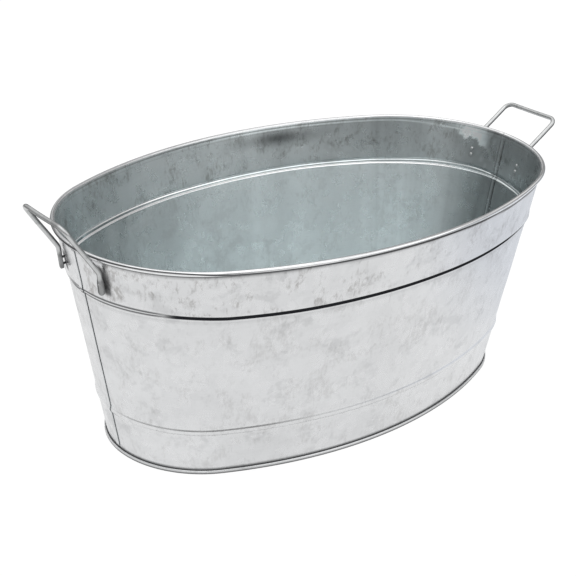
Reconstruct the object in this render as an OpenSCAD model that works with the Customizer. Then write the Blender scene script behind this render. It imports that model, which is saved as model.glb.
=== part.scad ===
// Galvanized oval tub, open at the top, with a wired rim and two bail handles.
// Two half walls of sheet metal meet in a lock seam at each end. A separate
// bottom is double seamed to them, and the top edge is rolled round a steel wire.
// Length runs along X, width along Y. The origin is the centre of the base, on the floor.

/* [Overall size] */
// Length over the rolled rim
rim_length = 589; // [540:1:680]
// Width over the rolled rim
rim_width = 368; // [345:1:400]
// Radius of the rounded ends, over the rolled rim
end_radius = 152; // [135:1:165]
// Height from the floor to the top of the rolled rim
tub_height = 244.5; // [200:0.5:320]
// Lean of the wall from upright, in degrees
wall_lean = 10.4; // [7:0.1:13]

/* [Sheet metal] */
// Thickness of the zinc coated sheet
sheet = 0.6; // [0.5:0.05:0.7]
// Space left between folded layers of sheet
layer_gap = 0.05; // [0.03:0.01:0.1]

/* [Rolled rim] */
// Diameter of the wire inside the rolled rim
rim_wire_d = 3.4; // [2.4:0.2:4.6]
// How far the sheet wraps round the wire, in degrees
curl_sweep = 300; // [240:5:310]
// Gap between the two rolled ends where the half walls meet
rim_joint = 0.5; // [0.2:0.1:1.5]

/* [Stiffening ledge and bead] */
// Depth of the ledge's lower step below the underside of the rim
ledge_drop = 49.6; // [46:0.2:80]
// Distance between the two steps of the ledge, up the wall
ledge_pitch = 3.8; // [3.2:0.1:6]
// How far the face between the two steps stands out of the wall below
ledge_mid = 1.8; // [1:0.1:1.8]
// How far the ledge's nose, over the upper step, stands out of the wall below
ledge_out = 2.5; // [2.2:0.1:3.2]
// Height of each step
ledge_rise = 1.6; // [1.5:0.1:2.4]
// Height over which the nose runs out into the band above it
ledge_fade = 4; // [3:0.5:6]
// How far the band above the ledge stands out of the wall below
band_step = 0.8; // [0.2:0.1:1.1]
// Height of the lower bead above the floor
bead_z = 52.8; // [20:0.2:140]
// How far the lower bead stands out of the wall
bead_out = 1.6; // [0.6:0.1:2]
// Width of the lower bead, up the wall
bead_w = 10; // [6:0.5:16]

/* [Base seam] */
// Height of the double seam round the base
seam_h = 4.2; // [3.8:0.1:7]
// Height of the floor pan above the floor
floor_rise = 5.5; // [4.5:0.1:9]
// Outside corner radius of the folded floor pan
pan_corner = 1.2; // [0.8:0.1:1.6]

/* [Lock seams] */
// Width of the folded part of each lock seam, at the rim
lock_w = 7.5; // [5:0.5:12]
// Space between a lock seam and the rim above it
lock_top_gap = 1.5; // [1:0.1:6]
// How far round from the middle of its end each lock seam lies
lock_shift = 7; // [0:0.5:10]

/* [Handles] */
// Diameter of the handle wire
handle_wire_d = 5; // [4:0.2:6]
// Distance between the two legs of a handle
handle_width = 74; // [56:1:110]
// Distance from the bend over the feet to the grip bar
handle_reach = 63; // [45:0.5:90]
// Radius of the grip bar's corners, to the wire's centre
handle_corner = 9; // [6:0.5:16]
// Tilt of the left handle above the horizontal, in degrees
left_tilt = 55.5; // [20:0.5:60]
// Tilt of the right handle above the horizontal, in degrees
right_tilt = 33; // [20:0.5:60]
// How far round from the middle of its end each handle lies
handle_shift = 3.7; // [0:0.1:6]
// Length of wire between the foot and its bend
neck = 6.5; // [5:0.5:9]
// How far the upset metal of the bend stands out of the wire, on the radius
bend_swell = 0.1; // [0.08:0.02:0.3]

/* [Feet and rivets] */
// Width of the flattened foot of each leg
foot_w = 7.5; // [6.5:0.1:10]
// Thickness of the flattened foot
foot_t = 4.2; // [3:0.1:4.6]
// Height of the collars that hold the foot off the wall, round its rivet holes
collar_h = 1.6; // [0.8:0.1:2.4]
// Diameter of those collars
collar_d = 4.6; // [4:0.1:5.5]
// Length of the flattened foot
foot_l = 17; // [15:0.5:17.5]
// Depth of the middle of the foot below the underside of the rim
foot_drop = 27.3; // [24:0.1:27.5]
// Space between a collar and the wall behind it
seat_gap = 0.08; // [0.05:0.01:0.2]
// Diameter of a rivet's shank
rivet_d = 2.4; // [1.8:0.1:3]
// Distance between the two rivets of a foot
rivet_pitch = 7; // [6:0.1:8.5]
// Clearance of a rivet in its hole, on the radius
rivet_fit = 0.05; // [0.02:0.01:0.1]
// Diameter of a rivet's head, inside the tub
rivet_head_d = 4; // [3.8:0.1:5.5]
// Height of a rivet's head
rivet_head_h = 1; // [0.6:0.1:1.4]
// Diameter of the closed end of a rivet, outside the foot
rivet_tail_d = 3.4; // [3.2:0.1:5]
// Height of the closed end of a rivet
rivet_tail_h = 0.5; // [0.3:0.1:1]

/* [Hidden] */

zinc = [0.77, 0.79, 0.80];
zinc_dark = [0.66, 0.69, 0.70];
steel = [0.72, 0.73, 0.74];

// Rolled rim: the wire's centre line is the reference line of the whole shell
curl_in = rim_wire_d / 2 + layer_gap;
curl_out = curl_in + sheet;
rim_z = tub_height - curl_out;
rim_under = rim_z - curl_out;

// Four arc oval along the reference line: two end arcs and two side arcs, with
// a common normal where they meet. Lengths are rounded, so that both arcs of a
// joint are built from the same numbers.
function round3(v) = round(v * 1000) / 1000;
half_l = rim_length / 2 - curl_out;
half_w = rim_width / 2 - curl_out;
end_r = round3(end_radius - curl_out);
end_x = half_l - end_r;
side_r0 = (end_x * end_x + half_w * half_w - end_r * end_r) / (2 * (half_w - end_r));
side_y = side_r0 - half_w;
joint_a = atan2(side_y, end_x);
arc_gap = round3(side_r0 - end_r);
side_a = 90 - joint_a;
spare_a = 2;
wire_flats = 24;
floor_flats = 120;

// Offsets of the wall's outer face from the reference line, at height z
skin = sheet / cos(wall_lean);
pitch = skin + layer_gap;
function band_r(z) = (z - rim_z) * tan(wall_lean) - curl_in / cos(wall_lean);
function low_r(z) = band_r(z) - band_step;
ledge_z = rim_under - ledge_drop;
ledge_top = ledge_z + ledge_pitch + ledge_rise / 2;
function out_of_low(out, z) = [low_r(z) + out, z];
function ledge_step(s) = out_of_low(
    ledge_mid * (1 - cos(180 * s)) / 2,
    ledge_z + ledge_rise * (s - 0.5)
);
function ledge_end(s) = out_of_low(
    band_step + (ledge_out - band_step) * (1 - s) * (1 - s),
    ledge_top + ledge_fade * s
);
function bead(s) = [
    low_r(bead_z + bead_w * (s - 0.5)) + bead_out * (1 - cos(360 * s)) / 2,
    bead_z + bead_w * (s - 0.5)
];

// Base seam, measured outward from the wall's outer face at the base
base_gap = 0.3;
wall_z = seam_h + base_gap;
base_r = low_r(wall_z);
step = sheet + layer_gap;
fold_in = sheet / 2 + layer_gap;
fold_out = fold_in + sheet;
hook_mid = fold_in;
pan_mid = hook_mid + step;
hook_z = step + fold_out;
pan_z = seam_h - fold_out;
edge_gap = 0.1;
pan_in = pan_corner - sheet;
pan_left = -sheet - step;
pan_right = pan_mid + fold_out;
pan_lap = 9;

// Lock seam
lock_low_gap = 0.5;
lock_lo = wall_z + lock_low_gap;
lock_hi = rim_under - lock_top_gap;
lock_a = lock_w / end_r * 180 / PI;
fold_a = sheet / end_r * 180 / PI;
gap_a = layer_gap / end_r * 180 / PI;
butt_a = rim_joint / 2 / end_r * 180 / PI;
lock_turn = lock_shift / end_r * 180 / PI;
lap_a = 1;
room_out = 9;

// Feet and rivets
foot_z = rim_under - foot_drop;
bend_up = foot_l / 2 + neck;
foot_back = seat_gap + collar_h;
foot_face = foot_back + foot_t;
wire_off = foot_back + handle_wire_d / 2;
bend_r = end_r + band_r(foot_z) + wire_off * cos(wall_lean) + bend_up * sin(wall_lean);
bend_z = foot_z - wire_off * sin(wall_lean) + bend_up * cos(wall_lean);
foot_a = asin(handle_width / 2 / bend_r);
handle_turn = asin(handle_shift / bend_r);
bore = 4 * foot_t;

big = 2 * rim_length;
$fn = 96;

function arc(x, z, r, from, to, n) = [
    for (i = [0 : n]) [
        x + r * cos(from + (to - from) * i / n),
        z + r * sin(from + (to - from) * i / n)
    ]
];
function flip(list) = [for (i = [len(list) - 1 : -1 : 0]) list[i]];
function moved(list, r) = [for (p = list) [p[0] + r, p[1]]];

// The wall's outer face between the base and the rim, from the bottom up
face_low = [low_r(lock_lo), lock_lo];
face_high = [band_r(lock_hi), lock_hi];
face_mid = concat(
    [face_low],
    [for (i = [0 : 6]) bead(i / 6)],
    [for (i = [0 : 3]) ledge_step(i / 3)],
    [out_of_low(ledge_mid, ledge_top - ledge_rise)],
    [for (i = [0 : 3]) ledge_end(i / 3)],
    [face_high]
);

// Whole section of a half wall: hook at the base, wall, and curl at the rim
module wall_section() {
    curl_from = 180 - wall_lean;
    curl_to = curl_from - curl_sweep;
    face = concat([[base_r, wall_z]], face_mid);
    polygon(concat(
        [[base_r + hook_mid + fold_out, pan_z - edge_gap]],
        arc(base_r + hook_mid, hook_z, fold_out, 0, -180, 8),
        moved(face, -skin),
        arc(0, rim_z, curl_out, curl_from, curl_to, 20),
        flip(arc(0, rim_z, curl_in, curl_from, curl_to, 20)),
        flip(face),
        arc(base_r + hook_mid, hook_z, fold_in, 180, 360, 6),
        [[base_r + hook_mid + fold_in, pan_z - edge_gap]]
    ));
}

// Section of the lock seam, from layer a to layer b of the folded sheet
module lock_section(a, b) {
    polygon(concat(
        moved(face_mid, b * pitch),
        flip(moved(face_mid, a * pitch - skin))
    ));
}

// Section of the floor pan's edge, from the flat floor round the double seam
module pan_section() {
    left = base_r + pan_left;
    right = base_r + pan_right;
    corner_x = left + sheet - pan_corner;
    polygon(concat(
        [[base_r - pan_lap, floor_rise - sheet]],
        arc(corner_x, floor_rise - pan_corner, pan_in, 90, 0, 6),
        arc(left + pan_corner, pan_corner, pan_corner, 180, 270, 6),
        arc(right - pan_corner, pan_corner, pan_corner, 270, 360, 6),
        arc(base_r + pan_mid, pan_z, fold_out, 0, 180, 8),
        [[base_r + layer_gap, hook_z + edge_gap]],
        [[base_r + layer_gap + sheet, hook_z + edge_gap]],
        arc(base_r + pan_mid, pan_z, fold_in, 180, 0, 6),
        arc(right - pan_corner, pan_corner, pan_in, 360, 270, 6),
        arc(left + pan_corner, pan_corner, pan_in, 270, 180, 6),
        arc(corner_x, floor_rise - pan_corner, pan_corner, 0, 90, 6),
        [[base_r - pan_lap, floor_rise]]
    ));
}

// Frame of one quarter, x > 0 and y > 0. Its own X axis points from the end
// arc's centre through the place where the end arc and the side arc meet.
module joint_frame() {
    translate([end_x, 0, 0]) {
        rotate([0, 0, joint_a]) {
            children();
        }
    }
}

// Section swept round the end arc, between two angles from the +X axis
module end_sweep(from, to) {
    joint_frame() {
        rotate_extrude(start = from - joint_a, angle = to - from) {
            translate([end_r, 0]) {
                children();
            }
        }
    }
}

// Section swept round the end arc from an angle to the joint, and on past x = 0
module quarter_sweep(from) {
    joint_frame() {
        rotate_extrude(start = 0, angle = from - joint_a) {
            translate([end_r, 0]) {
                children();
            }
        }
        translate([-arc_gap, 0, 0]) {
            rotate_extrude(start = 0, angle = side_a + spare_a) {
                translate([end_r + arc_gap, 0]) {
                    children();
                }
            }
        }
    }
}

// What lies on the +X side of the middle, past a given place along Y
module right_of_middle(from_y) {
    intersection() {
        union() {
            children();
        }
        translate([0, from_y, -big / 2]) {
            cube([big, big, big]);
        }
    }
}

// Section swept all the way round the oval, from four equal quarters
module ring_sweep() {
    for (sx = [0, 1], sy = [0, 1]) {
        mirror([sx, 0, 0]) {
            mirror([0, sy, 0]) {
                right_of_middle(0) {
                    quarter_sweep(-spare_a) {
                        children();
                    }
                }
            }
        }
    }
}

// Folded edge that runs under its neighbour, in a seam with its middle at an angle
module under_fold(mid) {
    half = lock_a / 2;
    end_sweep(mid - half, mid + butt_a + lap_a) {
        lock_section(0, 0);
    }
    end_sweep(mid - half, mid - half + fold_a) {
        lock_section(0, 2);
    }
    end_sweep(mid - half, mid + half) {
        lock_section(2, 2);
    }
}

// Folded edge that runs over its neighbour, in a seam with its middle at an angle
module over_fold(mid) {
    half = lock_a / 2 + gap_a + fold_a;
    end_sweep(mid + half - fold_a, mid + half) {
        lock_section(0, 3);
    }
    end_sweep(mid - half, mid + half) {
        lock_section(3, 3);
    }
    end_sweep(mid - half, mid - half + fold_a) {
        lock_section(1, 3);
    }
    end_sweep(mid - half, mid + lock_a / 2 - gap_a - fold_a) {
        lock_section(1, 1);
    }
}

// Room in a half wall for the layers of its neighbour
module over_room(mid) {
    end_sweep(mid - lock_a, mid + lock_a / 2 + gap_a + fold_a / 2) {
        polygon([
            [base_r - room_out, lock_lo], [room_out, lock_lo],
            [room_out, lock_hi], [base_r - room_out, lock_hi]
        ]);
    }
}

// Both quarters of the rear wall: its right edge runs under the front wall's
// edge, and its left edge runs over it
module half_wall() {
    right_of_middle(-big / 2) {
        quarter_sweep(butt_a - lock_turn) {
            wall_section();
        }
        under_fold(-lock_turn);
    }
    mirror([1, 0, 0]) {
        right_of_middle(-big / 2) {
            difference() {
                quarter_sweep(butt_a + lock_turn) {
                    wall_section();
                }
                over_room(lock_turn);
            }
            over_fold(lock_turn);
        }
    }
}

// Frame of the right handle: the end arc's centre, with X towards the middle of the handle
module handle_frame() {
    translate([end_x, 0, 0]) {
        rotate([0, 0, -handle_turn]) {
            children();
        }
    }
}

// Seats of a handle's two feet on the wall of the right end
module at_feet() {
    handle_frame() {
        for (side = [-1, 1]) {
            rotate([0, 0, side * foot_a]) {
                translate([end_r + band_r(foot_z), 0, foot_z]) {
                    rotate([0, wall_lean, 0]) {
                        children();
                    }
                }
            }
        }
    }
}

// The two rivet places of one foot, with their axes along Z
module at_rivets() {
    for (side = [-1, 1]) {
        translate([0, 0, side * rivet_pitch / 2]) {
            rotate([0, 90, 0]) {
                children();
            }
        }
    }
}

module rivet_holes() {
    for (turn = [0, 180]) {
        rotate([0, 0, turn]) {
            at_feet() {
                at_rivets() {
                    cylinder(r = rivet_d / 2 + rivet_fit, h = bore, center = true);
                }
            }
        }
    }
}

module rear_wall() {
    color(zinc) {
        difference() {
            half_wall();
            rivet_holes();
        }
    }
}

module front_wall() {
    color(zinc) {
        rotate([0, 0, 180]) {
            difference() {
                half_wall();
                rivet_holes();
            }
        }
    }
}

function oval_at(turn, offset) =
    let (n = [cos(turn), sin(turn)])
    atan2(abs(n[1]), abs(n[0])) < joint_a
        ? [sign(n[0]) * end_x, 0] + (end_r + offset) * n
        : [0, -sign(n[1]) * side_y] + (side_r0 + offset) * n;

module floor_pan() {
    color(zinc_dark) {
        union() {
            ring_sweep() {
                pan_section();
            }
            translate([0, 0, floor_rise - sheet]) {
                linear_extrude(sheet) {
                    polygon([
                        for (i = [0.5 : floor_flats])
                            oval_at(i * 360 / floor_flats, base_r - pan_lap / 2)
                    ]);
                }
            }
        }
    }
}

module rim_wire() {
    color(steel) {
        ring_sweep() {
            polygon(arc(0, rim_z, rim_wire_d / 2, 0, 360 - 360 / wire_flats, wire_flats - 1));
        }
    }
}

// Flattened foot with round ends, its collars on the wall, and the neck above it
module foot() {
    end = foot_w / 2;
    difference() {
        union() {
            translate([foot_back, 0, 0]) {
                rotate([0, 90, 0]) {
                    linear_extrude(foot_t) {
                        square([foot_l - foot_w, foot_w], center = true);
                        for (side = [-1, 1]) {
                            translate([side * (foot_l / 2 - end), 0]) {
                                circle(r = end);
                            }
                        }
                    }
                }
            }
            at_rivets() {
                translate([0, 0, seat_gap]) {
                    cylinder(d = collar_d, h = collar_h + foot_t / 2);
                }
            }
        }
        at_rivets() {
            cylinder(r = rivet_d / 2 + rivet_fit, h = bore, center = true);
        }
    }
    translate([wire_off, 0, rivet_pitch / 2 + rivet_tail_d / 2 + seat_gap]) {
        cylinder(d = handle_wire_d, h = bend_up - rivet_pitch / 2 - rivet_tail_d / 2 - seat_gap);
    }
    translate([wire_off, 0, bend_up]) {
        sphere(r = handle_wire_d / 2 + bend_swell);
    }
}

// Grip bar, corners and legs, flat in XY, with the bends over the feet at x = 0
module bail() {
    leg = handle_reach - handle_corner;
    bar = handle_width - 2 * handle_corner;
    for (side = [-1, 1]) {
        translate([0, side * handle_width / 2, 0]) {
            rotate([0, 90, 0]) {
                cylinder(d = handle_wire_d, h = leg);
            }
        }
        translate([leg, side * bar / 2, 0]) {
            rotate_extrude(start = side > 0 ? 0 : -90, angle = 90) {
                translate([handle_corner, 0]) {
                    circle(d = handle_wire_d);
                }
            }
        }
    }
    translate([handle_reach, -bar / 2, 0]) {
        rotate([-90, 0, 0]) {
            cylinder(d = handle_wire_d, h = bar);
        }
    }
}

module handle(tilt) {
    at_feet() {
        foot();
    }
    handle_frame() {
        translate([bend_r * cos(foot_a), 0, bend_z]) {
            rotate([0, -tilt, 0]) {
                bail();
            }
        }
    }
}

module right_handle() {
    color(steel) {
        handle(right_tilt);
    }
}

module left_handle() {
    color(steel) {
        rotate([0, 0, 180]) {
            handle(left_tilt);
        }
    }
}

// Domed head inside the tub, shank, and closed end on the foot, along Z
module rivet() {
    head_z = -sheet - seat_gap;
    tail_z = foot_face + seat_gap;
    head_r = rivet_head_d / 2;
    dome_r = (head_r * head_r + rivet_head_h * rivet_head_h) / (2 * rivet_head_h);
    translate([0, 0, head_z]) {
        cylinder(d = rivet_d, h = tail_z - head_z);
    }
    intersection() {
        translate([0, 0, head_z - rivet_head_h + dome_r]) {
            sphere(r = dome_r);
        }
        translate([0, 0, head_z - rivet_head_d]) {
            cylinder(r = rivet_head_d, h = rivet_head_d);
        }
    }
    translate([0, 0, tail_z]) {
        cylinder(d1 = rivet_tail_d, d2 = rivet_d, h = rivet_tail_h);
    }
}

module rivets() {
    at_feet() {
        at_rivets() {
            rivet();
        }
    }
}

module right_rivets() {
    color(steel) {
        rivets();
    }
}

module left_rivets() {
    color(steel) {
        rotate([0, 0, 180]) {
            rivets();
        }
    }
}

front_wall();
rear_wall();
floor_pan();
rim_wire();
left_handle();
right_handle();
left_rivets();
right_rivets();
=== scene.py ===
import math

import bpy
import numpy as np
from mathutils import Matrix


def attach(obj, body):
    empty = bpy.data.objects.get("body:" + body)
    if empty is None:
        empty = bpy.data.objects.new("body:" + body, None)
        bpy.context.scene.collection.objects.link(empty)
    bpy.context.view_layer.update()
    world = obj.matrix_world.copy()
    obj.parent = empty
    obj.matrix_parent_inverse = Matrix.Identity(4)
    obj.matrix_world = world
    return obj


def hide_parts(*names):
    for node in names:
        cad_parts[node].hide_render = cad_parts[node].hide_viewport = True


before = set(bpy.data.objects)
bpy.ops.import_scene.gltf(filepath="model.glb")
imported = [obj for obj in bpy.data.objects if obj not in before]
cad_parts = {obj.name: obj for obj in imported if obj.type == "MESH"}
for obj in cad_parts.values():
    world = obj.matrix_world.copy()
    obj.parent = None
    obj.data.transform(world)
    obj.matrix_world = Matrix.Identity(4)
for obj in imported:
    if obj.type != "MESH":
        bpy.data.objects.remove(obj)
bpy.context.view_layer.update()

# Half walls. Two strips of thin galvanized steel are bent to half an oval each and flared.
# A ledge and a bead are rolled into them, the top edge is curled round a wire, and their
# ends hook into each other in a flat lock seam at each end of the tub. Sizes are in mm.
SHEET = 0.6
LEAN = math.radians(10.44)
RIM_Z = 242.2
CURL_R = 2.05
CURL_FROM, CURL_TO = 169.5, -130
END_X, END_R = 142.5, 149.65
SIDE_Y, SIDE_R = 301.285, 482.935
BAND_STEP = 0.8
BEAD_Z = 52.8
BEAD_OUT = 1.6
FOOT_R = -46.2
FOOT_TOP = 4.6

# The ledge's two steps: a first one out to the middle and a second one on to its nose.
# Their heights wander round the tub, as measured in the photo. Directions are in degrees,
# with 0 at the right end, 90 at the rear, 180 at the left end and 270 at the front.
LEDGE_Z = 190.2
LEDGE_PITCH = 4.0
LEDGE_MID = 1.8
LEDGE_OUT = 2.3
LEDGE_FADE = 3.8
STEP_TURN = [
    0, 8, 25, 34, 46, 60, 75, 90, 105, 120, 150, 180, 190,
    200, 208, 217, 228, 240, 250, 258, 267, 280, 290, 300, 320, 345,
]
STEP_LOW = [
    190.6, 190.0, 189.3, 188.5, 187.6, 187.3, 189.5, 189.4, 190.2, 189.0, 190.5, 191.1, 191.0,
    191.7, 191.7, 191.8, 191.9, 190.7, 189.6, 190.2, 191.3, 189.8, 187.2, 185.4, 186.4, 188.6,
]
STEP_HIGH = [
    193.0, 194.2, 193.2, 192.5, 191.0, 190.4, 192.4, 191.9, 193.8, 193.0, 194.3, 194.4, 195.1,
    195.0, 195.2, 194.2, 193.9, 192.9, 191.7, 192.2, 193.2, 191.8, 189.4, 187.7, 189.0, 190.8,
]

# Painted light: factors for how light the zinc's reflections look inside, below the ledge and in the band
# above it, set by comparing the render's lightness with the photo's.
PAINTED_LIGHT_TURN = [0, 8, 18, 24, 32, 46, 60, 75, 90, 105, 120, 135, 150, 178, 186, 305, 328, 346]
LOW_PAINTED_LIGHT = [
    0.45, 0.6, 0.85, 1.04, 1.2, 1.28, 1.26, 1.2, 1.12,
    1.07, 1.0, 0.96, 0.92, 0.92, 1.38, 1.38, 0.75, 0.48,
]
BAND_PAINTED_LIGHT = [
    0.66, 0.58, 0.58, 0.92, 1.0, 0.88, 0.82, 0.78, 0.88,
    1.22, 1.34, 1.22, 0.96, 0.95, 1.38, 1.38, 0.85, 0.72,
]

# The dark line along the rim, as measured in the photo, painted: a dark reflection along the curl, and shade
# where it tucks in at the right and in the gap below the lip. Where round the curl it runs, how wide it is
# there, and how high it lies at the front right, where it leaves the curl.
DARK_LINE_TURN = [180, 192, 204, 215, 230, 238, 246, 256, 266, 276, 350]
DARK_LINE_BEND = [10, 16, 28, 36, 32, 0, -32, -50, -20, -45, -45]
DARK_LINE_WIDE = [30, 28, 20, 17, 17, 24, 26, 30, 30, 42, 42]
LIP_TURN = [240, 256, 266, 276, 283, 289, 296, 350]
LIP_Z = [239.0, 238.6, 238.2, 237.5, 236.1, 234.0, 232.6, 232.0]

# Lock seam, a little round from the middle of each end: half its width, how far it stands
# out, how far the upper edge laps over, and the gap where the curled ends only butt.
SEAM_TURN = 7 / END_R
SEAM_HALF = 3.75
SEAM_LIFT = 0.95
SEAM_OVER = 1.8
JOINT_GAP = 0.25
NEAR_SEAM = 12.0

# Feet of the handles on the wall, as (end, side): their height, how far they are from the
# tub's middle, how far each pair is turned round from its end, and half the rivets' spacing.
FEET = [(-1, -1), (-1, 1), (1, -1), (1, 1)]
FOOT_Z = 212.6
FOOT_Y = 37.0
FOOT_SHIFT = 3.7
RIVET_UP = 3.5

# Height that the curl's rows are given in the masks, above all the wall's.
ABOVE_ALL = 300.0


def ease(low, high, value):
    """0 below low, 1 above high, and 3t^2 - 2t^3 of the way between."""
    t = np.clip((value - low) / (high - low), 0, 1)
    return t * t * (3 - 2 * t)


def window(value, rise, fall):
    """1 between two slopes: eased up over the first pair of values, down over the second."""
    return ease(*rise, value) * (1 - ease(*fall, value))


def bell(value, middle, half, power=2):
    """1 at the middle, falling off by e to the minus (distance / half) to the power."""
    return np.exp(-(((value - middle) / half) ** power))


def darkest(*masks):
    """The largest of several masks, point by point."""
    return np.maximum.reduce(np.broadcast_arrays(*masks))


def oval(turn, out):
    """Point of the outline whose normal is turned from +X by `turn`, moved outward by `out`.

    Two end arcs and two side arcs share a normal where they meet, so each point is an arc's
    centre plus (radius + out) times the normal.
    """
    c, s = np.cos(turn), np.sin(turn)
    end = np.abs(s) * END_X < np.abs(c) * SIDE_Y
    cx, cy = np.where(end, END_X, 0.0), np.where(end, 0.0, -SIDE_Y)
    radius = np.where(end, END_R, SIDE_R)
    return np.sign(c) * cx + (radius + out) * c, np.sign(s) * cy + (radius + out) * s


def arc(x, z, radius, start, stop, count):
    """Points of a circle from one angle to another, in degrees."""
    a = np.radians(np.linspace(start, stop, count))
    return np.stack([x + radius * np.cos(a), z + radius * np.sin(a)], 1)


def lean_line(z):
    """Middle of the sheet at height z, if it were a plain leaning line."""
    return (z - RIM_Z) * math.tan(LEAN) - CURL_R / math.cos(LEAN)


def ledge(z, middle, nose, run_out):
    """Two eased steps, out to `middle` and on to `nose`, which runs out into the band above."""
    low = ease(LEDGE_Z - 0.7, LEDGE_Z + 0.7, z)
    high = ease(LEDGE_Z + LEDGE_PITCH - 0.6, LEDGE_Z + LEDGE_PITCH + 0.6, z)
    fade = ease(LEDGE_Z + LEDGE_PITCH + 0.6, LEDGE_Z + LEDGE_PITCH + 0.6 + run_out, z)
    return middle * low + (nose - middle) * high - (nose - BAND_STEP) * fade


def ribs(z):
    """What the rollers add to that line: the ledge, and the bead as a cosine squared wave."""
    swell = BEAD_OUT * np.cos(np.clip((z - BEAD_Z) / 10, -0.5, 0.5) * math.pi) ** 2
    return ledge(z, LEDGE_MID, LEDGE_OUT, LEDGE_FADE) - BAND_STEP + swell


def round_tub(turn, places, values):
    """Values at some directions, joined by lines and evened out over six degrees each way."""
    a = np.degrees(turn)
    return sum(np.interp(a + shift, places, values, period=360) for shift in (-6, -3, 0, 3, 6)) / 5


def sides(path):
    """The two faces of a sheet whose middle follows the path: half a thickness along the normal."""
    along = np.gradient(path, axis=0)
    along /= np.linalg.norm(along, axis=1)[:, None]
    normal = np.stack([along[:, 1], -along[:, 0]], 1) * SHEET / 2
    return path + normal, path - normal


def grid_faces(where):
    """Four-cornered faces between the neighbours of a grid of point numbers."""
    quads = np.stack([where[:-1, :-1], where[:-1, 1:], where[1:, 1:], where[1:, :-1]], -1)
    return quads.reshape(-1, 4).tolist()


def sheet_piece(name, rows_out, rows_in, masks=(), closed=False, peak=False):
    """Closed shell from two grids of points, its outer and its inner face, joined at their edges.

    Grids are (rows, columns, 3) in mm. A closed one joins its last column to its first, and a
    peak closes its first row with a fan to the row's middle. Masks are (name, outer, inner).
    """
    n, m = rows_out.shape[:2]
    points = np.concatenate([rows_out.reshape(-1, 3), rows_in.reshape(-1, 3)])
    where = np.concatenate([np.arange(n), np.arange(2 * n - 1, n - 1, -1)])
    where = where[:, None] * m + np.arange(m)[None, :]
    where = np.concatenate([where, where[:1]])
    if closed:
        where = np.concatenate([where, where[:, :1]], 1)
    if peak:
        where = where[:-1]
    faces = grid_faces(where)
    if not closed:
        a = np.arange(n - 1)
        for col, turn in ((0, 1), (m - 1, -1)):
            cap = np.stack([a, a + 1, a + 1 + n, a + n], 1) * m + col
            faces += cap[:, ::turn].tolist()
    if peak:
        top, low = points[:m].mean(0), points[n * m : n * m + m].mean(0)
        k = len(points)
        points = np.concatenate([points, [top, low]])
        a, b = np.arange(m), (np.arange(m) + 1) % m
        faces += np.stack([b, a, np.full(m, k)], 1).tolist()
        faces += np.stack([a + n * m, b + n * m, np.full(m, k + 1)], 1).tolist()
    values = {}
    for mask, *both in masks:
        on_faces = [np.broadcast_to(face, (n, m)).ravel() for face in both]
        values[mask] = np.concatenate([*on_faces, np.zeros(len(points) - 2 * n * m)])
    return finished(name, points, faces, values)


def finished(name, points, faces, masks):
    """An object of those faces: masks on its points, smooth, with sharp folds, and faces outward.

    They face outward when the sum of each triangle's corner products, its volume, is positive.
    """
    mesh = bpy.data.meshes.new(name)
    mesh.from_pydata((points * 0.001).tolist(), [], faces)
    for mask, values in masks.items():
        layer = mesh.attributes.new(mask, "FLOAT", "POINT")
        layer.data.foreach_set("value", values.astype(np.float32))
    mesh.validate()
    mesh.update()
    mesh.calc_loop_triangles()
    tris = np.zeros(len(mesh.loop_triangles) * 3, np.int32)
    mesh.loop_triangles.foreach_get("vertices", tris)
    t = points[tris.reshape(-1, 3)]
    if np.einsum("ij,ij->", t[:, 0], np.cross(t[:, 1], t[:, 2])) < 0:
        mesh.flip_normals()
    mesh.shade_smooth()
    mesh.set_sharp_from_angle(angle=math.radians(50))
    piece = bpy.data.objects.new(name, mesh)
    bpy.context.scene.collection.objects.link(piece)
    return piece


def dent(x, y, z):
    """Small hollows and waves of hand worked sheet: a dip round each foot, and long sine waves."""
    wave = np.sin(x / 31 + z / 23 + 0.7) * np.cos(y / 37 - z / 29)
    wave = wave + 0.6 * np.sin(x / 17 - y / 21 + z / 13)
    dip = 0
    for end, side in FEET:
        across = y - side * FOOT_Y + end * FOOT_SHIFT
        far = (x - end * 280) ** 2 + across**2 + 0.5 * (z - FOOT_Z) ** 2
        dip = dip + 0.3 * np.exp(-far / 90)
    return 0.1 * wave * window(z, (6, 30), (225, 238)) + dip


def foot_shade(x, y, z):
    """Grime and shadow on the sheet round each foot: 1 behind it, falling off over 1.5 mm.

    Beside the near left foot it follows the leg up to the rim, to one side by t squared.
    """
    shade = 0
    for end, side in FEET:
        near = end + side == -2
        follow = np.clip((z - FOOT_Z) / 19, 0, 1.1) if near else 0
        across = y - side * FOOT_Y + end * (FOOT_SHIFT - 1.2) + 1.2 * near - 6 * follow**2
        beside = np.clip(np.abs(across) - (2.9 - 0.9 * follow), 0, None) / 1.9
        reach = np.where(z > FOOT_Z, 19 if near else 8.5, 8.5)
        above = np.clip(np.abs(z - FOOT_Z + 0.5) - reach, 0, None) / 2
        shade = shade + bell(beside, 0, 1) * bell(above, 0, 1) * (x * end > 0)
    scuff = bell(y, -27, 4.5) * bell(z, 226, 4) * (x < 0)
    return np.minimum(shade + 0.42 * scuff, 1)


def rivet_shade(x, y, z):
    """Painted shade in a ring round each rivet head inside: a bell of 3 mm about its middle."""
    shade = 0
    for end, side in FEET:
        for up in (-RIVET_UP, RIVET_UP):
            across = y - side * FOOT_Y + end * FOOT_SHIFT
            shade = shade + np.exp(-(across**2 + (z - FOOT_Z - up) ** 2) / 8) * (x * end > 0)
    return np.minimum(shade, 1)


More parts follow.
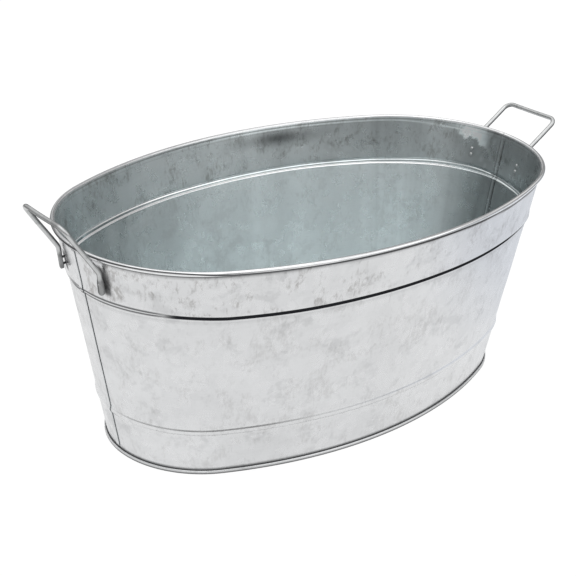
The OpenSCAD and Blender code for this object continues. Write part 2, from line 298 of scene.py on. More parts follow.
def wall_section():
    """Middle line of the sheet as rows of (out, height), from the base hook to the curl's end.

    It also gives each row's height, with the curl put above all others, and which rows are
    the standing wall and which are the curl.
    """
    z = np.concatenate([
        np.linspace(FOOT_TOP, 46, 14), np.linspace(46.6, 59, 30), np.linspace(60, 186, 32),
        np.linspace(187, 199.4, 68), np.linspace(200.5, 236, 20), np.linspace(236.8, RIM_Z, 10),
    ])
    hook = arc(FOOT_R + 0.35, 1.6, 0.65, 0, -180, 9)
    wall = np.stack([lean_line(z) + ribs(z), z], 1)
    curl = arc(0, RIM_Z, CURL_R, CURL_FROM, CURL_TO, 46)
    path = np.concatenate([[[FOOT_R + 1, 3.1]], hook, wall, curl])
    row = np.arange(len(path))[:, None]
    curled = row > len(hook) + len(wall)
    standing = (row > len(hook)) & ~curled
    return path, np.where(curled, ABOVE_ALL, path[:, 1:]), standing, curled


def wall_columns(radius, locked):
    """Direction of each point of a half wall, and its distance from the seam at either end.

    Near an end the columns keep their distance from the seam, closer together towards it. In
    between they are evenly spaced along the rim.
    """
    end_a = JOINT_GAP - (SEAM_HALF + JOINT_GAP) * locked
    end_b = JOINT_GAP - (SEAM_OVER + JOINT_GAP) * locked
    closer = np.linspace(0, 1, 46) ** 1.15
    near_a = end_a + (NEAR_SEAM - end_a) * closer
    near_b = end_b + (NEAR_SEAM - end_b) * closer[::-1]
    fine = np.linspace(0, math.pi, 4001)
    x, y = oval(fine, 0.0)
    run = np.concatenate([[0], np.cumsum(np.hypot(np.diff(x), np.diff(y)))])
    even = np.interp(np.linspace(NEAR_SEAM, run[-1] - NEAR_SEAM, 330)[1:-1], run, fine)
    share = (even - NEAR_SEAM / END_R) / (math.pi - 2 * NEAR_SEAM / END_R)
    start = NEAR_SEAM / radius
    middle = start + (math.pi - 2 * start) * share
    angle = np.concatenate([near_a / radius, middle, math.pi - near_b / radius], 1)
    far = np.full_like(middle, NEAR_SEAM)
    from_a = np.concatenate([near_a, far, np.full_like(near_b, NEAR_SEAM)], 1)
    from_b = np.concatenate([np.full_like(near_a, NEAR_SEAM), far, near_b], 1)
    return angle, from_a, from_b


def ledge_shade(around, step):
    """Painted shade along the front's ledge, by height over its lower step.

    From 220 to 300 degrees the whole ledge is one black stripe, and towards both ends of the
    front its two steps are a line each. A faint line runs below them all along.
    """
    black = ease(214, 224, around) * (1 - 0.3 * ease(288, 296, around)) * (1 - ease(296, 304, around))
    wider = 0.25 * ease(240, 270, around)
    stripe = ease(-2.1, -1.6, step + wider)
    stripe = stripe * (1 - ease(LEDGE_PITCH + 0.2, LEDGE_PITCH + 0.7, step - wider)) * black
    left_end = 1 - ease(168, 179, around)
    low_line = (0.8 + 0.18 * left_end) * bell(step, -0.35, 1.35 + 0.9 * left_end, 4) * (1 - black)
    high_line = 0.82 * bell(step, LEDGE_PITCH - 0.35, 1.35, 4) * (1 - black)
    return darkest(stripe, low_line, high_line, 0.14 * bell(step, -4.4, 0.5))


def rim_shade(angle, around, level):
    """Painted shade under the rim outside: a shadow under the curl, and a shadow line in the gap below the
    lip at the front right.
    """
    under = 0.34 * ease(234.4, 237.4, level) + 0.42 * ease(236.9, 238.2, level)
    under = under * (1 - ease(268, 284, around))
    lip = 0.95 * bell(level, round_tub(angle, LIP_TURN, LIP_Z), 1.3, 4)
    return darkest(under, lip * window(around, (244, 258), (308, 320)))


def curl_shade_and_reflection(angle, around, bend):
    """Painted dark on the curl's seen face: shade on its tucked end, and a dark reflection along it, shade
    where it tucks in at the right.
    """
    dark_mark = round_tub(angle, DARK_LINE_TURN, DARK_LINE_BEND)
    line = 0.95 * bell(bend, dark_mark, round_tub(angle, DARK_LINE_TURN, DARK_LINE_WIDE), 4)
    line = line * (1 - 0.8 * window(around, (274, 284), (340, 350)))
    return darkest(0.9 * (1 - ease(-62, -34, bend)), line)


def inner_painted_light(angle, around, level, step, band):
    """Painted light inside, for how light the zinc's reflections look: two levels below and above the ledge
    with upright streaks, a darker patch, and a bright reflection with ripples near the right seam.
    """
    low = round_tub(angle, PAINTED_LIGHT_TURN, LOW_PAINTED_LIGHT)
    high = round_tub(angle, PAINTED_LIGHT_TURN, BAND_PAINTED_LIGHT)
    run = np.degrees(angle) * 5 + level * 0.02
    streak = np.sin(run / 7.1 + 2 * np.sin(run / 23)) * np.sin(run / 31 + 1)
    streak = streak + 0.4 * np.sin(run / 3.3 + 3 * np.sin(run / 17))
    tone = low * (1 + 0.04 * streak) + (high - low) * ease(0, LEDGE_PITCH, step)
    cloud = bell(around, 79, 6) * bell(level, 229, 8)
    wavy = 227 + 2.6 * np.sin(around / 1.7) + 1.5 * np.sin(around / 0.63 + 2) + 0.55 * (around - 14)
    smear_and_sheen = ease(-1.2, 1.2, level - wavy) * bell(around, 14.5, 8.5, 4)
    puddle = np.sin(around / 0.9 + 3) * np.sin(level / 2.9 + around / 3) * bell(around, 4, 7)
    return tone - 0.55 * cloud + (smear_and_sheen + 0.2 * np.clip(puddle, 0, 1)) * band


def half_wall(name, turn):
    """A half wall, from its hooked end at `turn` to its folded end half a turn on.

    Each point is the oval's point in its direction, moved out by the section, by the seam's
    thickness near the ends and by the dents. Where the ledge wanders, rows near it go along.
    """
    path, level, standing, curled = wall_section()
    outer, inner = sides(path)
    locked = window(level, (FOOT_TOP, 5.4), (235.5, 238))
    angle, from_a, from_b = wall_columns(END_R + path[:, :1], locked)
    angle = angle + turn - SEAM_TURN
    around = np.degrees(np.mod(angle, 2 * math.pi))
    front = window(around, (150, 172), (345, 358))

    rise_low = round_tub(angle, STEP_TURN, STEP_LOW) - LEDGE_Z
    rise_high = round_tub(angle, STEP_TURN, STEP_HIGH) - LEDGE_Z - LEDGE_PITCH
    between = np.clip((level - LEDGE_Z - 0.7) / (LEDGE_PITCH - 1.3), 0, 1)
    climb = rise_low + (rise_high - rise_low) * between
    climb = climb * window(level, (120, 184), (204, 232))
    lift = SEAM_LIFT * (1 - ease(SEAM_HALF, SEAM_HALF + 1.4, from_b)) * locked
    lift = lift + 0.25 * bell(from_a, SEAM_HALF, 0.55) * locked
    sharp = ledge(level, 0.9, 1.2, 8)
    sharp = sharp + bell(around, 318, 22) * (ledge(level, 0, 1.0, 5) - ledge(level, 0, 0, 5))
    lift = lift + front * (sharp - ledge(level, LEDGE_MID, LEDGE_OUT, LEDGE_FADE))
    grids = []
    for face in (outer, inner):
        x, y = oval(angle, path[:, :1] + climb * math.tan(LEAN))
        out = face[:, :1] - path[:, :1] + lift + dent(x, y, level)
        x, y = x + out * np.cos(angle), y + out * np.sin(angle)
        grids.append(np.stack([x, y, face[:, 1:] + climb], -1))

    hooked = ~(standing | curled)
    step = level - LEDGE_Z
    bend = np.degrees(np.arctan2(path[:, 1:] - RIM_Z, path[:, :1]))
    edges = darkest(bell(from_b, 0.1 - SEAM_OVER, 0.25), bell(from_a, SEAM_HALF + 0.8, 0.25))
    # Painted shade outside: inside the curl and the hook, the ledge's shadow, the shadow under the rim, the
    # shadow round the feet and at the wall's foot. The seam's edges are darkened as joints, and a scuff near
    # the left end is grime.
    outer_dirt_and_shade = darkest(
        curled, 0.9 * hooked, 0.1 * edges * locked, ledge_shade(around, step) * front * standing,
        rim_shade(angle, around, level) * standing, 0.78 * foot_shade(x, y, level) * standing,
        0.85 * (1 - ease(FOOT_TOP, 6.4, level)) * standing,
    )
    sunny = window(around, (8, 24), (80, 96))
    # Painted shade in a band just under the curl inside, weaker on the lit side.
    neck = (0.62 - 0.3 * sunny) * bell(level, 240.9, 0.8, 4) + 0.2 * bell(level, 237.0, 0.5)
    folds = bell(from_a, -2.6, 0.4) + bell(from_a, 1.6, 0.4)
    # Painted dark inside: a dark reflection line on the curl and shade at its tucked end, shade in the hook,
    # a shade band just below the curl, and shade round the rivet heads. The seam's folds are darkened as
    # joints.
    inner_dirt_and_shade = darkest(
        curl_shade_and_reflection(angle, around, bend) * curled, 0.9 * hooked, 0.6 * folds * locked,
        neck * standing, 0.5 * rivet_shade(x, y, level) * standing,
    )

    band = ease(LEDGE_Z + 2, LEDGE_Z + 6, level)
    # Painted highlights along the ledge's two steps inside.
    steps = bell(step, 0, 0.9, 4)
    steps = steps + 0.9 * bell(step, LEDGE_PITCH, 0.8, 4) * (1 - ease(108, 120, around))
    glint = np.interp(around, [8, 20, 50, 70, 90], [234.0, 235.5, 238.4, 238.8, 239.4])
    glint = sunny * (bell(level, glint, 0.9) + ease(240.8, 241.8, level))
    # Painted light inside: the levels and patches, highlights on the steps, a glint below the rim and a
    # lighter line along the seam.
    tone = inner_painted_light(angle, around, level, step, band) + 0.6 * steps + 0.6 * glint
    tone = tone + 0.2 * bell(from_a, -0.5, 0.9) * locked
    curl_light = 0.15 + 0.21 * ease(258, 272, around)
    rolled = bell(step, LEDGE_PITCH / 2, 3.6, 4) + 0.5 * bell(level, BEAD_Z, 6, 4)
    rolled = darkest(rolled * standing, curled * (1 - 0.9 * ease(105, 130, bend)))
    smudge_out = 0.3 + (0.25 + 0.3 * (1 - ease(245, 275, around))) * band
    smudge_in = (0.25 + 0.55 * band) * ~curled * (1 - 0.7 * np.clip(steps, 0, 1))
    return sheet_piece(name, grids[0], grids[1], [
        ("dirt_and_shade", outer_dirt_and_shade, inner_dirt_and_shade),
        ("inside", 0, ~curled),
        ("painted_lightness", 0, np.where(curled, curl_light, tone - 1)),
        ("worn", rolled, rolled),
        ("smudge", smudge_out, smudge_in),
    ])


def shader_node(tree, kind, inputs=None, **settings):
    """A node of that kind in the tree, with its inputs given as values or as sockets to link."""
    made = tree.nodes.new(kind)
    for key, value in settings.items():
        setattr(made, key, value)
    for key, value in (inputs or {}).items():
        if isinstance(value, bpy.types.NodeSocket):
            tree.links.new(value, made.inputs[key])
        else:
            made.inputs[key].default_value = value
    return made


def value_math(tree, kind, a, b):
    """The sum, product or other result of two values or sockets."""
    return shader_node(tree, "ShaderNodeMath", {0: a, 1: b}, operation=kind).outputs[0]


def smooth_range(tree, value, low, high, to_low=0.0, to_high=1.0):
    """The value, eased from one range to another."""
    ends = {"Value": value, "From Min": low, "From Max": high, "To Min": to_low, "To Max": to_high}
    return shader_node(tree, "ShaderNodeMapRange", ends, interpolation_type="SMOOTHSTEP").outputs[0]


def blended(tree, kind, factor, a, b, blend="MIX"):
    """Two colours, values or vectors mixed or multiplied by a factor."""
    ends = {"Factor": factor, "A": a, "B": b}
    made = shader_node(tree, "ShaderNodeMix", ends, data_type=kind, blend_type=blend)
    return made.outputs["Result"]


def zinc_group():
    """Shader group for a hot dipped surface: grey blotches, crystal cells and fine streaks."""
    tree = bpy.data.node_groups.new("zinc crystals", "ShaderNodeTree")
    tree.interface.new_socket("Place", in_out="INPUT", socket_type="NodeSocketVector")
    for label in ("Blotches", "Crystals", "Waves"):
        tree.interface.new_socket(label, in_out="INPUT", socket_type="NodeSocketFloat")
    for label in ("Shade", "Dull", "Height", "Smudge"):
        tree.interface.new_socket(label, in_out="OUTPUT", socket_type="NodeSocketFloat")
    given = tree.nodes.new("NodeGroupInput").outputs
    place = given["Place"]

    def noise(vector, scale, detail, rough=0.55, twist=0.0):
        """Cloudy noise, 0 to 1."""
        amounts = {"Scale": scale, "Detail": detail, "Roughness": rough, "Distortion": twist}
        return shader_node(tree, "ShaderNodeTexNoise", {"Vector": vector, **amounts}).outputs["Fac"]

    def squeezed(x, y, z):
        """The place, squeezed along each axis, so that noise there is stretched out."""
        ends = {0: place, 1: (x, y, z)}
        return shader_node(tree, "ShaderNodeVectorMath", ends, operation="MULTIPLY").outputs[0]

    def plus(a, b):
        """Sum of two values."""
        return value_math(tree, "ADD", a, b)

    def times(a, b):
        """Product of two values."""
        return value_math(tree, "MULTIPLY", a, b)

    def centred(a):
        """A value from 0 to 1, moved to run from -0.5 to 0.5."""
        return value_math(tree, "SUBTRACT", a, 0.5)

    edge = plus(noise(place, 30.0, 5.0, 0.62, 0.5), times(centred(noise(place, 170.0, 4.0, 0.6, 0.3)), 0.32))
    blotch = smooth_range(tree, edge, 0.53, 0.66)
    warp = shader_node(tree, "ShaderNodeTexNoise", {"Vector": place, "Scale": 120.0, "Detail": 2.0})
    moved = blended(tree, "VECTOR", 0.012, place, warp.outputs["Color"])
    cells = shader_node(tree, "ShaderNodeTexVoronoi", {"Vector": moved, "Scale": 105.0, "Randomness": 1.0})
    tone = shader_node(tree, "ShaderNodeSeparateColor", {"Color": cells.outputs["Color"]}).outputs[0]
    upright = noise(squeezed(900.0, 900.0, 28.0), 1.0, 2.0)
    level = noise(squeezed(30.0, 30.0, 700.0), 1.0, 2.0)
    grain = plus(centred(upright), centred(level))
    soft = centred(noise(place, 9.0, 2.0))
    loss = plus(times(blotch, given["Blotches"]), times(centred(tone), given["Crystals"]))
    shade = value_math(tree, "SUBTRACT", 1.0, loss)
    shade = plus(plus(shade, times(grain, 0.05)), times(soft, 0.22))
    dull = plus(times(blotch, 0.5), times(tone, 0.3))
    wave = noise(place, 14.0, 1.0, 0.4, 0.2)
    ripple = noise(place, 45.0, 1.0, 0.4, 0.2)
    height = plus(times(wave, given["Waves"]), times(ripple, times(given["Waves"], 0.16)))
    feather = noise(squeezed(260.0, 260.0, 110.0), 1.0, 5.0, 0.65, 0.6)
    smear_and_sheen = plus(noise(place, 24.0, 5.0, 0.66, 0.7), times(centred(feather), 0.7))
    shader_node(tree, "NodeGroupOutput", {
        "Shade": shade, "Dull": dull, "Height": height, "Smudge": smooth_range(tree, smear_and_sheen, 0.5, 0.74),
    })
    return tree


ZINC = zinc_group()
SMUDGE_TINT = (0.55, 0.535, 0.52, 1)
# Black for dirt, and for painted shade and dark reflections in gaps, creases and under edges.
DIRT_AND_SHADE_BLACK = (0.018, 0.019, 0.022, 1)


def zinc_finish(name, tint, inner_tint, blotches, crystals, waves, rough):
    """Zinc coated steel: the group's shade on the tint, changed where the piece's masks say.

    The inside mask picks the inner tint, a lightness mask scales it, painting light and shade, smudge lays
    brownish smears on it, a dark mask turns it black and dull, for dirt and for painted shade, and worn
    polishes it.
    """
    material = bpy.data.materials.new(name)
    material.use_nodes = True
    tree = material.node_tree
    shader = tree.nodes["Principled BSDF"]
    place = shader_node(tree, "ShaderNodeTexCoord").outputs["Object"]
    amounts = {"Place": place, "Blotches": blotches, "Crystals": crystals, "Waves": waves}
    zinc = shader_node(tree, "ShaderNodeGroup", amounts, node_tree=ZINC).outputs

    def mask(label):
        """The piece's mask of that name."""
        return shader_node(tree, "ShaderNodeAttribute", attribute_name=label).outputs["Fac"]

    dirt_and_shade = mask("dirt_and_shade")
    colour = blended(tree, "RGBA", mask("inside"), (*tint, 1), (*inner_tint, 1))
    colour = blended(tree, "RGBA", 1.0, colour, zinc["Shade"], "MULTIPLY")
    ends = {0: colour, 3: value_math(tree, "ADD", mask("painted_lightness"), 1.0)}
    colour = shader_node(tree, "ShaderNodeVectorMath", ends, operation="SCALE").outputs[0]
    smudge = value_math(tree, "MULTIPLY", mask("smudge"), zinc["Smudge"])
    colour = blended(tree, "RGBA", smudge, colour, SMUDGE_TINT, "MULTIPLY")
    colour = blended(tree, "RGBA", dirt_and_shade, colour, DIRT_AND_SHADE_BLACK)
    ends = {"Value": zinc["Dull"], "To Min": rough, "To Max": rough + 0.2}
    gloss = shader_node(tree, "ShaderNodeMapRange", ends).outputs["Result"]
    polished = value_math(tree, "MULTIPLY", mask("worn"), 0.85)
    bumps = {"Height": zinc["Height"], "Strength": 1.0, "Distance": 0.003}
    tree.links.new(colour, shader.inputs["Base Color"])
    tree.links.new(blended(tree, "FLOAT", polished, gloss, 0.1), shader.inputs["Roughness"])
    tree.links.new(shader_node(tree, "ShaderNodeBump", bumps).outputs["Normal"], shader.inputs["Normal"])
    tree.links.new(value_math(tree, "SUBTRACT", 1.0, dirt_and_shade), shader.inputs["Metallic"])
    shader.inputs["Specular IOR Level"].default_value = 0.0
    return material


# The inner tint is a darker, cooler copy of the outer one, painting the inside's shade.
OUTER_TINT, INNER_SHADED_TINT = (0.735, 0.742, 0.75), (0.66, 0.702, 0.71)
sheet_zinc = zinc_finish("galvanized sheet", OUTER_TINT, INNER_SHADED_TINT, 0.08, 0.04, 0.5, 0.26)
rear = half_wall("rear_wall_sheet", 0.0)
front = half_wall("front_wall_sheet", math.pi)
for piece, node in ((rear, "rear_wall"), (front, "front_wall")):
    piece.data.materials.append(sheet_zinc)
    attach(piece, "root")
    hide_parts(node)


# Bottom. An oval pan of the same sheet. Its edge turns down inside the wall, runs under the
# wall's hook and folds over it from outside, which leaves the raised ring the tub stands on.
FLOOR_Z = 5.2


def floor_pan():
    """The pan: rows run from the middle of the floor to its edge, then round the double seam.

    The floor's rows are its edge scaled towards the middle, with low sine waves on them.
    """
    spread = np.concatenate([np.linspace(0.02, 0.9, 24), np.linspace(0.92, 0.99, 6)])
    corner = arc(FOOT_R - 1.85, 4.3, 0.9, 90, 0, 8)
    inner_foot = arc(FOOT_R - 0.05, 1.2, 0.9, 180, 270, 8)
    outer_foot = arc(FOOT_R + 0.75, 1.2, 0.9, 270, 360, 8)
    top = arc(FOOT_R + 1.0, 3.25, 0.65, 0, 180, 12)
    start, stop = [[FOOT_R - 8, FLOOR_Z]], [[FOOT_R + 0.35, 1.8]]
    path = np.concatenate([start, corner, inner_foot, outer_foot, top, stop])
    outer, inner = sides(path)
    turn = np.linspace(0, 2 * math.pi, 721)[:-1]
    grids = []
    for face, flat in ((outer, FLOOR_Z - SHEET / 2), (inner, FLOOR_Z + SHEET / 2)):
        x, y = oval(turn[None, :], face[:, :1])
        edge = np.stack([x, y, np.broadcast_to(face[:, 1:], x.shape)], -1)
        disc = edge[:1] * spread[:, None, None]
        belly = 0.3 * np.sin(disc[..., 0] / 41 + 1) * np.cos(disc[..., 1] / 33)
        disc[..., 2] = flat + belly * (1 - spread[:, None] ** 4)
        grids.append(np.concatenate([disc, edge]))
    row = np.arange(len(grids[0]))[:, None]
    first_foot = len(spread) + 1 + len(corner) + len(inner_foot)
    way = 270 + 90 * (row - first_foot) / (len(outer_foot) - 1)
    # Painted shade along the outer underside of the ring the tub stands on. The inner face turns darker from
    # the floor's edge on and nearly black at the fold's end, and the floor inside is a little darker all
    # over.
    base_shade_line = 0.8 * ease(300, 325, way) * (way <= 360.5)
    darker_edge = 0.35 * (row > len(spread) - 3) + 0.9 * (row > len(row) - 5)
    return sheet_piece("floor_pan_sheet", grids[0], grids[1], [
        ("dirt_and_shade", base_shade_line, np.minimum(darker_edge, 0.9)),
        ("inside", 0, 1),
        ("painted_lightness", 0, -0.1),
        ("smudge", 0, 0.45),
    ], closed=True, peak=True)


pan = floor_pan()
pan.data.materials.append(sheet_zinc)
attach(pan, "root")
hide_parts("floor_pan")


# Wire core of the rim. One length of plain drawn steel wire, bent to the oval and wrapped by
# the top edge of the walls, which leaves it in sight only in the two joints of the rim.
CORE_R = 1.7
# Side of the wire that gets painted shade: below it, towards the front right.
PAINTED_SHADE_SIDE = np.array([0.362, -0.546, -0.755])


def tube(name, centre, width, thick, facing, power, closed=False, masks=None, shade_side=PAINTED_SHADE_SIDE):
    """Wire along a path: a superellipse carried square to it, with painted shade on one side in the masks it
    is given.

    At each point the section is (width cos^p, thick sin^p), on the axes facing x along and
    facing, so that power 1 gives round wire and less a flattened one.
    """
    if closed:
        along = np.roll(centre, -1, 0) - np.roll(centre, 1, 0)
    else:
        along = np.gradient(centre, axis=0)
    along /= np.linalg.norm(along, axis=1)[:, None]
    across = np.cross(facing, along)
    across /= np.linalg.norm(across, axis=1)[:, None]
    face = np.cross(along, across)
    a = np.linspace(0, 2 * math.pi, 29)[:-1]
    c, s = np.cos(a)[None, :], np.sin(a)[None, :]
    p, wide, high = (np.broadcast_to(v, (len(centre),))[:, None] for v in (power, width, thick))
    u = np.sign(c) * np.abs(c) ** p * wide
    v = np.sign(s) * np.abs(s) ** p * high
    grid = centre[:, None] + u[..., None] * across[:, None] + v[..., None] * face[:, None]
    n, m = grid.shape[:2]
    where = np.arange(n * m).reshape(n, m)
    where = np.concatenate([where, where[:, :1]], 1)
    if closed:
        where = np.concatenate([where, where[:1]])
    faces = grid_faces(where)
    if not closed:
        faces += [list(range(m))[::-1], list(range((n - 1) * m, n * m))]
    spoke = grid - centre[:, None]
    below = np.einsum("nmk,nk->nm", spoke, np.broadcast_to(shade_side, centre.shape))
    below = 0.8 * ease(0.0, 0.42, below / np.linalg.norm(spoke, axis=-1))
    marks = {mask: np.maximum(values[:, None], below).ravel() for mask, values in (masks or {}).items()}
    return finished(name, grid.reshape(-1, 3), faces, marks)


turn = np.linspace(0, 2 * math.pi, 721)[:-1]
x, y = oval(turn, 0.0)
ring = np.stack([x, y, 0 * x + RIM_Z], 1)
core = tube("rim_wire_core", ring, CORE_R, CORE_R, np.array([0, 0, 1.0]), 1.0, closed=True)
WIRE_TINT = (0.60, 0.61, 0.615)
wire_zinc = zinc_finish("galvanized wire", WIRE_TINT, WIRE_TINT, 0.2, 0.1, 0.05, 0.34)
core.data.materials.append(wire_zinc)
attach(core, "root")
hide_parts("rim_wire")


# Handles. Each is one length of 5 mm wire: its two ends are hammered flat and riveted to the
# wall under the rim, and the grip is bent over by hand, the left one higher than the right.
WIRE_R = 2.5
FOOT_WIDE = 7.2
FOOT_THICK = 4.2
FOOT_GAP = 1.4
FOOT_DOWN = 8.4
BEND_UP = 15.5
GRIP_REACH = 63.0
# Sides of the left handle's far and near legs that get the painted shade.
FAR_LEG_SIDE = np.array([0.93, -0.08, 0.37])
NEAR_LEG_SIDE = np.array([-0.2, 0.706, -0.677])


def rounded(corners, radii, spacing):
    """Polyline with its corners turned into arcs, as evenly spaced points.

    Each arc starts and ends radius x tan(half the turn) from its corner.
    """
    path = [corners[:1]]
    for before, here, after, radius in zip(corners, corners[1:], corners[2:], radii):
        a = (before - here) / np.linalg.norm(before - here)
        b = (after - here) / np.linalg.norm(after - here)
        half = math.acos(np.clip(a @ b, -1, 1)) / 2
        middle = (a + b) / np.linalg.norm(a + b) * radius / math.sin(half)
        x_axis = (a * radius / math.tan(half) - middle) / radius
        sweep = np.linspace(0, 1, 17)[:, None] * (math.pi - 2 * half)
        path.append(here + middle + radius * (np.cos(sweep) * x_axis - np.sin(sweep) * a))
    path.append(corners[-1:])
    path = np.concatenate(path)
    run = np.concatenate([[0], np.cumsum(np.linalg.norm(np.diff(path, axis=0), axis=1))])
    even = np.linspace(0, run[-1], int(run[-1] / spacing))
    return np.stack([np.interp(even, run, path[:, k]) for k in range(3)], 1), even


def foot_frame(side):
    """Where a foot sits on the right end: a point on the wall's face, and its out and up."""
    level = (FOOT_Z - RIM_Z) * math.tan(LEAN) - (CURL_R - SHEET / 2) / math.cos(LEAN) + 0.35
    a = side * math.asin(FOOT_Y / (END_R + level)) - math.asin(FOOT_SHIFT / (END_R + level))
    x, y = oval(np.array(a), level)
    out = np.array([math.cos(LEAN) * math.cos(a), math.cos(LEAN) * math.sin(a), -math.sin(LEAN)])
    up = np.array([math.sin(LEAN) * math.cos(a), math.sin(LEAN) * math.sin(a), math.cos(LEAN)])
    return np.array([float(x), float(y), FOOT_Z]), out, up


def bail(name, tilt, end):
    """A handle: foot, bend, leg, grip and back, bent up by `tilt` degrees at the right end.

    Towards each tip the round section flattens to a paddle with a round end.
    """
    tilt, swing = math.radians(tilt), -math.asin(FOOT_SHIFT / (END_R - 5))
    ahead = np.array([math.cos(swing), math.sin(swing), 0])
    lean = ahead * math.cos(tilt) + np.array([0, 0, math.sin(tilt)])
    plane = ahead * math.sin(tilt) - np.array([0, 0, math.cos(tilt)])
    feet = {side: foot_frame(side) for side in (-1, 1)}
    tips, bends = {}, {}
    for side, (seat, out, up) in feet.items():
        tips[side] = seat - up * FOOT_DOWN + out * (WIRE_R + FOOT_GAP + 1.0)
        bends[side] = seat + up * BEND_UP + out * (WIRE_R + FOOT_GAP - 0.5)
    grip = [bends[side] + lean * GRIP_REACH for side in (-1, 1)]
    corners = np.array([tips[-1], bends[-1], *grip, bends[1], tips[1]])
    centre, run = rounded(corners, (12.0, 9.0, 9.0, 12.0), 0.55)
    total = run[-1]
    from_tip = np.minimum(run, total - run)
    flat = 1 - ease(12, 20, from_tip)
    seat_out = np.where((run < total / 2)[:, None], feet[-1][1], feet[1][1])
    bent = ease(20, 27, from_tip)[:, None]
    facing = seat_out * (1 - bent) + plane * bent
    thick = WIRE_R + (FOOT_THICK / 2 - WIRE_R) * flat
    wide = WIRE_R + (FOOT_WIDE / 2 - WIRE_R) * flat
    tip = np.clip(1 - from_tip / 3.75, 0, 1)
    wide = wide * np.sqrt(np.maximum(1 - tip**2, 0.02))
    thick = thick * (1 - 0.35 * ease(0.5, 1.0, tip))
    wobble = 0.12 * np.sin(run / 9 + tilt)
    centre = centre + plane * (wobble * ease(30, 45, from_tip))[:, None]
    power = 1 - 0.45 * flat
    # Darker over the flattened end, with a painted shade line in the crease where the flattening starts.
    dark_mark = 0.5 * np.maximum(1 - ease(15, 19, from_tip), bell(from_tip, 15.5, 1.0))
    shade_side = PAINTED_SHADE_SIDE
    if end < 0:
        centre, facing = centre * [-1, -1, 1], facing * [-1, -1, 1]
        near = ease(-34, -26, -centre[:, 1:2])
        shade_side = FAR_LEG_SIDE + (NEAR_LEG_SIDE - FAR_LEG_SIDE) * near
    return tube(name, centre, wide, thick, facing, power, masks={"dirt_and_shade": dark_mark}, shade_side=shade_side)


HANDLE_TINT = (0.585, 0.595, 0.595)
handle_zinc = zinc_finish("galvanized handle wire", HANDLE_TINT, HANDLE_TINT, 0.25, 0.12, 0.05, 0.3)
left = bail("left_bail", 55.5, -1)
right = bail("right_bail", 33.4, 1)
for piece, node in ((left, "left_handle"), (right, "right_handle")):
    piece.data.materials.append(handle_zinc)
    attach(piece, "root")
    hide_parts(node)


# Rivets. Two soft steel rivets hold each foot: a low domed head inside the tub, and outside a
# shank hammered down to a small dished disc. Painted shade darkens the rim under the head, a
# ring round the disc and its dish.
RIVET_PROFILE = np.array([
    [0.0, -1.75], [0.6, -1.72], [1.2, -1.58], [1.7, -1.25], [1.95, -0.85], [2.0, -0.62],
    [1.2, -0.62], [1.2, 5.65], [1.55, 5.7], [1.65, 6.1], [1.35, 6.35], [0.8, 6.2], [0.0, 6.0],
])
RIVET_PAINTED_SHADE = [0, 0, 0, 0, 0.4, 0.9, 0.9, 0.9, 0.9, 0.5, 0, 0.4, 0.6]
RIVET_SIDES = 32


def rivet_set(name, end):
    """The four rivets of a handle: a profile (radius, depth) turned about each rivet's axis."""
    a = np.linspace(0, 2 * math.pi, RIVET_SIDES + 1)[:-1]
    k = np.arange(RIVET_SIDES)
    j = (k + 1) % RIVET_SIDES
    rings = len(RIVET_PROFILE) - 2
    points, faces, dark = [], [], []
    for side in (-1, 1):
        seat, out, up = foot_frame(side)
        spin = np.cos(a)[:, None] * np.cross(up, out) + np.sin(a)[:, None] * up
        for shift in (-RIVET_UP, RIVET_UP):
            base = len(points)
            for (radius, depth), shade in zip(RIVET_PROFILE, RIVET_PAINTED_SHADE):
                ring = seat + up * shift + out * depth + spin * radius
                ring = ring if radius else ring[:1]
                points.extend(ring)
                dark += [shade] * len(ring)
            faces += np.stack([j + base + 1, k + base + 1, 0 * k + base], 1).tolist()
            for r in range(rings - 1):
                low = base + 1 + RIVET_SIDES * r
                high = low + RIVET_SIDES
                faces += np.stack([k + low, j + low, j + high, k + high], 1).tolist()
            last = base + 1 + RIVET_SIDES * (rings - 1)
            faces += np.stack([k + last, j + last, 0 * k + last + RIVET_SIDES], 1).tolist()
    points = np.array(points)
    if end < 0:
        points = points * [-1, -1, 1]
    return finished(name, points, faces, {"dirt_and_shade": np.array(dark)})


RIVET_TINT = (0.66, 0.67, 0.67)
rivet_zinc = zinc_finish("rivet steel", RIVET_TINT, RIVET_TINT, 0.15, 0.1, 0.02, 0.3)
for name, node, end in (("left_rivet_set", "left_rivets", -1), ("right_rivet_set", "right_rivets", 1)):
    piece = rivet_set(name, end)
    piece.data.materials.append(rivet_zinc)
    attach(piece, "root")
    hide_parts(node)


# Studio. White paper under even light, and for reflections a dim room with a bright ceiling,
# a large soft box to the front right and another to the front left, as the bright and dark
# lines along the wires show. For the camera and in reflections the paper is mostly glow,
# and its matte rest takes the tub's shadow.
WHITE = (1.0, 1.0, 1.0, 1)
PAPER_SHADE = (0.84, 0.87, 0.93, 1)
floor_mesh = bpy.data.meshes.new("studio_floor")
floor_mesh.from_pydata([(-9, -9, 0), (9, -9, 0), (9, 9, 0), (-9, 9, 0)], [], [(0, 1, 2, 3)])
floor = bpy.data.objects.new("studio_floor", floor_mesh)
bpy.context.scene.collection.objects.link(floor)
floor.location.z = -0.0003
paper = bpy.data.materials.new("white paper")
paper.use_nodes = True
tree = paper.node_tree
tree.nodes.remove(tree.nodes["Principled BSDF"])
place = shader_node(tree, "ShaderNodeTexCoord").outputs["Object"]
away = shader_node(tree, "ShaderNodeVectorMath", {0: place}, operation="LENGTH").outputs["Value"]
side = shader_node(tree, "ShaderNodeSeparateXYZ", {0: place}).outputs["X"]
path = shader_node(tree, "ShaderNodeLightPath").outputs
seen = path["Is Camera Ray"]
near_tint = blended(tree, "RGBA", smooth_range(tree, side, 0.15, 0.5), WHITE, PAPER_SHADE)
far_glow = smooth_range(tree, away, 0.7, 1.9, 1.0, 0.3)
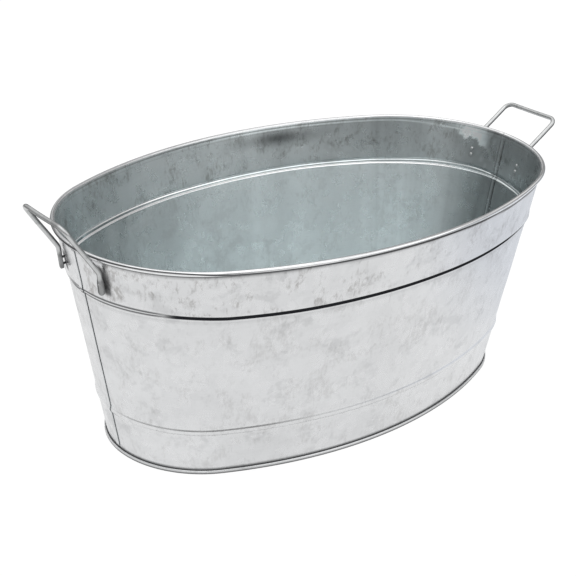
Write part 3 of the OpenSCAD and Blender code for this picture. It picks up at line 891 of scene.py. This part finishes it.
glow = shader_node(tree, "ShaderNodeEmission", {
    "Color": blended(tree, "RGBA", seen, near_tint, WHITE),
    "Strength": blended(tree, "FLOAT", seen, far_glow, 1.09),
})
matte = shader_node(tree, "ShaderNodeBsdfDiffuse", {"Color": (0.85, 0.85, 0.85, 1)})
direct = value_math(tree, "MAXIMUM", seen, path["Is Glossy Ray"])
direct = value_math(tree, "MAXIMUM", direct, path["Is Transmission Ray"])
share = value_math(tree, "MULTIPLY", direct, 0.85)
blend = shader_node(tree, "ShaderNodeMixShader", {0: share, 1: matte.outputs[0], 2: glow.outputs[0]})
tree.links.new(blend.outputs[0], tree.nodes["Material Output"].inputs["Surface"])
floor_mesh.materials.append(paper)

world = bpy.data.worlds.new("studio")
world.use_nodes = True
bpy.context.scene.world = world
tree = world.node_tree
ray = shader_node(tree, "ShaderNodeTexCoord").outputs["Generated"]


def soft_box(turn, rise, edge, core, strength):
    """Round patch of light, as strong as given within `core` degrees, fading out at `edge`."""
    way = Matrix.Rotation(math.radians(turn), 3, "Z") @ Matrix.Rotation(math.radians(-rise), 3, "Y")
    ends = {0: ray, 1: tuple(way.col[0])}
    near = shader_node(tree, "ShaderNodeVectorMath", ends, operation="DOT_PRODUCT").outputs["Value"]
    return smooth_range(tree, near, *np.cos(np.radians([edge, core])).tolist(), 0.0, strength)


height = shader_node(tree, "ShaderNodeSeparateXYZ", {0: ray}).outputs["Z"]
patches = shader_node(tree, "ShaderNodeTexNoise", {"Vector": ray, "Scale": 2.2, "Detail": 1.0})
uneven = smooth_range(tree, patches.outputs["Fac"], 0.35, 0.65, 0.65, 1.6)
room = value_math(tree, "MULTIPLY", smooth_range(tree, height, 0.1, 0.85, 0.26, 0.75), uneven)
light = value_math(tree, "ADD", room, smooth_range(tree, height, 0.8, 0.97, 0.0, 0.6))
light = value_math(tree, "MAXIMUM", light, soft_box(-65, 34, 40, 28, 1.2))
light = value_math(tree, "MAXIMUM", light, soft_box(-140, 46, 36, 18, 1.0))
glossy = shader_node(tree, "ShaderNodeLightPath").outputs["Is Glossy Ray"]
sky = tree.nodes["Background"]
tree.links.new(blended(tree, "FLOAT", glossy, 1.0, light), sky.inputs["Strength"])
sky.inputs["Color"].default_value = WHITE

# Camera, worked out from the photo: its direction and roll in radians, its place in mm from
# the tub's origin along its own axes, and its focal length in pixels of the photo's width.
AZIMUTH, ELEVATION, ROLL = -0.6937, 0.4343, 0.0265
CAMERA_BACK, CAMERA_LEFT, CAMERA_UP = 1608.093, 18.98, 108.9665
FOCAL_PIXELS, PHOTO_PIXELS, SENSOR = 1414.8681, 576, 36.0
back = np.array([
    math.sin(AZIMUTH) * math.cos(ELEVATION),
    -math.cos(AZIMUTH) * math.cos(ELEVATION),
    math.sin(ELEVATION),
])
level_right = np.array([math.cos(AZIMUTH), math.sin(AZIMUTH), 0.0])
level_up = np.cross(back, level_right)
right_axis = level_right * math.cos(ROLL) + level_up * math.sin(ROLL)
up_axis = level_up * math.cos(ROLL) - level_right * math.sin(ROLL)
spot = (back * CAMERA_BACK - right_axis * CAMERA_LEFT + up_axis * CAMERA_UP) * 0.001
lens = bpy.data.cameras.new("photo camera")
lens.sensor_width = SENSOR
lens.lens = SENSOR * FOCAL_PIXELS / PHOTO_PIXELS
lens.clip_start, lens.clip_end = 0.05, 40
camera = bpy.data.objects.new("photo camera", lens)
bpy.context.scene.collection.objects.link(camera)
turned = np.eye(4)
turned[:3, :] = np.stack([right_axis, up_axis, back, spot], 1)
camera.matrix_world = Matrix(turned.tolist())
bpy.context.scene.camera = camera
bpy.context.scene.view_settings.view_transform = "Standard"
